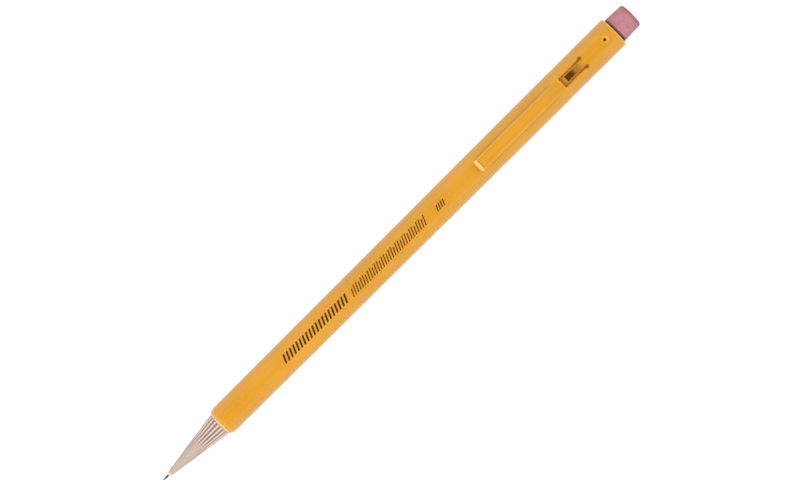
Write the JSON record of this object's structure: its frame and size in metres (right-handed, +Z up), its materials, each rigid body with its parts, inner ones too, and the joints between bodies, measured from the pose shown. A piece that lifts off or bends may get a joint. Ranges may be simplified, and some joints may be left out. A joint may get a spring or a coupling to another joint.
{
  "type": "mechanical pencil",
  "caption": "Slim round twist pencil: ribbed turning nose that feeds and cushions the lead, barrel with moulded pocket clip, push-in eraser.",
  "frame": {"origin": "centre of the pencil's box in plan, on the surface that it lies on", "axes": "+X along the pencil from the lead to the eraser, +Z up through the pocket clip"},
  "size_m": [0.15, 0.008, 0.0096],
  "materials": {
    "barrel_plastic": "satin",
    "eraser_rubber": "matte",
    "nose_plastic": "satin",
    "soft_rubber": "matte",
    "lead_graphite": "satin",
    "inner_plastic": "satin",
    "spring_steel": "polished"
  },
  "bodies": {
    "barrel_body": {"barrel": "barrel_plastic", "eraser": "eraser_rubber", "cushion_spring": "spring_steel"},
    "clip_arm": {"pocket_clip": "barrel_plastic"},
    "cushioned_unit": {"spiral_sleeve": "inner_plastic", "sleeve_end_cap": "inner_plastic"},
    "turning_nose": {"nose_cone": "nose_plastic", "lead_retainer": "soft_rubber", "drag_ring": "soft_rubber", "drive_tube": "nose_plastic", "drive_tube_cap": "nose_plastic"},
    "lead_carriage": {"lead": "lead_graphite", "lead_socket": "inner_plastic", "carriage": "inner_plastic"}
  },
  "joints": [
    {"name": "clip_flex", "type": "hinge", "parent": "barrel_body", "child": "clip_arm", "pos_m": [0.051, 0, 0.0082], "axis": [0, 1, 0], "range_deg": [0, 4], "stiffness_Nm_per_rad": 0.12},
    {"name": "tip_cushion", "type": "slide", "parent": "barrel_body", "child": "cushioned_unit", "axis": [1, 0, 0], "range_m": [0, 0.0012], "stiffness_N_per_m": 500, "deforming": ["cushion_spring"]},
    {"name": "nose_twist", "type": "hinge", "parent": "cushioned_unit", "child": "turning_nose", "pos_m": [-0.055, 0, 0.00396], "axis": [-1, 0, 0], "range_deg": [-360, 5040]},
    {"name": "lead_feed", "type": "slide", "parent": "turning_nose", "child": "lead_carriage", "axis": [-1, 0, 0], "range_m": [-0.004, 0.056]}
  ],
  "couplings": [
    {"joint": "lead_feed", "follows": "nose_twist", "m_per_rad": 0.00063662}
  ]
}
